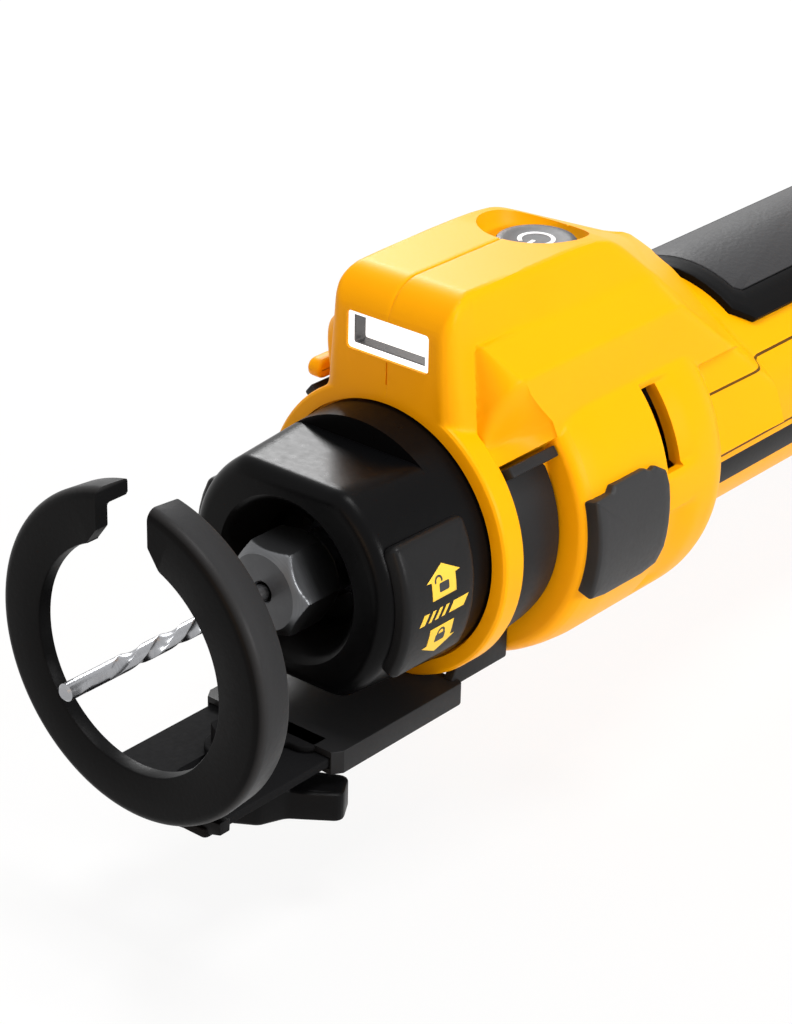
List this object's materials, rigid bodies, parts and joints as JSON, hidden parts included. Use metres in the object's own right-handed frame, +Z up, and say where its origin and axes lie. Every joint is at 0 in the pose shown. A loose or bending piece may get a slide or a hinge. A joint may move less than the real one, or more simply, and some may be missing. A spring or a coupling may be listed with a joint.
{
  "type": "drywall cut out tool",
  "caption": "Cordless spiral cut out tool: round motor body with a top light and button, straight handle, twist-lock nose, collet and bit, open-ring depth guide and slide-on battery.",
  "frame": {"origin": "middle of the guide ring, on its front face, where the spindle axis meets it", "axes": "-X is the way the bit points, +Z is up through the top block and the button, +Y is the right side seen from behind"},
  "size_m": [0.3399, 0.074, 0.108],
  "materials": {
    "housing_yellow": "satin moulded plastic",
    "black_plastic": "fine textured plastic",
    "collar_black": "satin black plastic",
    "rubber_black": "matte rubber",
    "pad_black": "fine textured plastic",
    "steel": "ground",
    "dark_steel": "black oxide",
    "aluminium": "cast",
    "copper": "enamelled wire",
    "board_green": "coated board",
    "clear_lens": "clear",
    "light_board": "white",
    "magnet": "coated",
    "wire_red": "insulation",
    "wire_black": "insulation",
    "screen": "mesh",
    "cell_wrap": "shrink film",
    "latch_red": "satin"
  },
  "bodies": {
    "tool": {"front_bearing": "steel", "rear_bearing": "steel", "nose_boss": "aluminium", "collar_snap_ring": "steel", "lock_pin_spring": "steel", "stator_core": "dark_steel", "stator_windings": "copper", "sensor_board": "board_green", "left_housing": "housing_yellow", "right_housing": "housing_yellow", "housing_screws": "dark_steel", "grip_border": "rubber_black", "grip_pad": "rubber_black", "led_lens": "clear_lens", "led_board": "light_board", "button_spring": "steel", "switch_board": "board_green", "filter_screens": "screen", "guide_bracket": "black_plastic", "clamp_bolt": "steel", "clamp_washer": "steel", "controller_module": "aluminium", "phase_wires": "wire_red", "supply_wires": "wire_black", "terminal_block": "black_plastic"},
    "spindle": {"cutting_bit": "steel", "collet": "dark_steel", "collet_nut": "dark_steel", "motor_shaft": "steel", "lock_disc": "steel", "rotor_core": "dark_steel", "rotor_magnets": "magnet", "cooling_fan": "black_plastic"},
    "lock_collar": {"nose_collar": "collar_black", "collar_pads": "pad_black"},
    "lock_pin": {"lock_pin": "steel"},
    "depth_guide": {"guide_ring": "black_plastic"},
    "knob": {"clamp_knob": "black_plastic"},
    "button": {"power_button": "pad_black"},
    "left_filter": {"left_filter_cover": "pad_black"},
    "right_filter": {"right_filter_cover": "pad_black"},
    "battery": {"pack_cover": "black_plastic", "pack_base": "black_plastic", "pack_cells": "cell_wrap", "pack_board": "board_green", "pack_screws": "dark_steel", "latch_spring": "steel"},
    "latch": {"pack_latch": "latch_red"},
    "gauge": {"gauge_button": "pad_black"}
  },
  "joints": [
    {"name": "spindle_spin", "type": "hinge", "parent": "tool", "child": "spindle", "pos_m": [0.05, 0, 0], "axis": [1, 0, 0], "continuous": true},
    {"name": "lock_collar_turn", "type": "hinge", "parent": "tool", "child": "lock_collar", "pos_m": [0.05, 0, 0], "axis": [1, 0, 0], "range_deg": [0, 30]},
    {"name": "lock_pin_slide", "type": "slide", "parent": "tool", "child": "lock_pin", "axis": [0, 0, -1], "range_m": [0, 0.00181], "deforming": ["lock_pin_spring"]},
    {"name": "guide_slide", "type": "slide", "parent": "tool", "child": "depth_guide", "axis": [-1, 0, 0], "range_m": [-0.011, 0.024]},
    {"name": "knob_turn", "type": "hinge", "parent": "tool", "child": "knob", "pos_m": [0.025, 0, -0.035], "axis": [0, 0, 1], "range_deg": [0, 180]},
    {"name": "button_press", "type": "slide", "parent": "tool", "child": "button", "axis": [0, 0, -1], "range_m": [0, 0.0012], "stiffness_N_per_m": 1500, "springref_m": -0.0005, "deforming": ["button_spring"]},
    {"name": "left_filter_pull", "type": "slide", "parent": "tool", "child": "left_filter", "axis": [0, -1, 0], "range_m": [0, 0.01]},
    {"name": "right_filter_pull", "type": "slide", "parent": "tool", "child": "right_filter", "axis": [0, 1, 0], "range_m": [0, 0.01]},
    {"name": "battery_slide", "type": "slide", "parent": "tool", "child": "battery", "axis": [0, 0, -1], "range_m": [0, 0.08]},
    {"name": "latch_press", "type": "slide", "parent": "battery", "child": "latch", "axis": [1, 0, 0], "range_m": [0, 0.0025], "stiffness_N_per_m": 1200, "springref_m": -0.0005, "deforming": ["latch_spring"]},
    {"name": "gauge_press", "type": "slide", "parent": "battery", "child": "gauge", "axis": [-1, 0, 0], "range_m": [0, 0.0008], "stiffness_N_per_m": 1500, "springref_m": -0.0005}
  ],
  "couplings": [
    {"joint": "lock_pin_slide", "follows": "lock_collar_turn", "m_per_rad": 0.0034377}
  ]
}
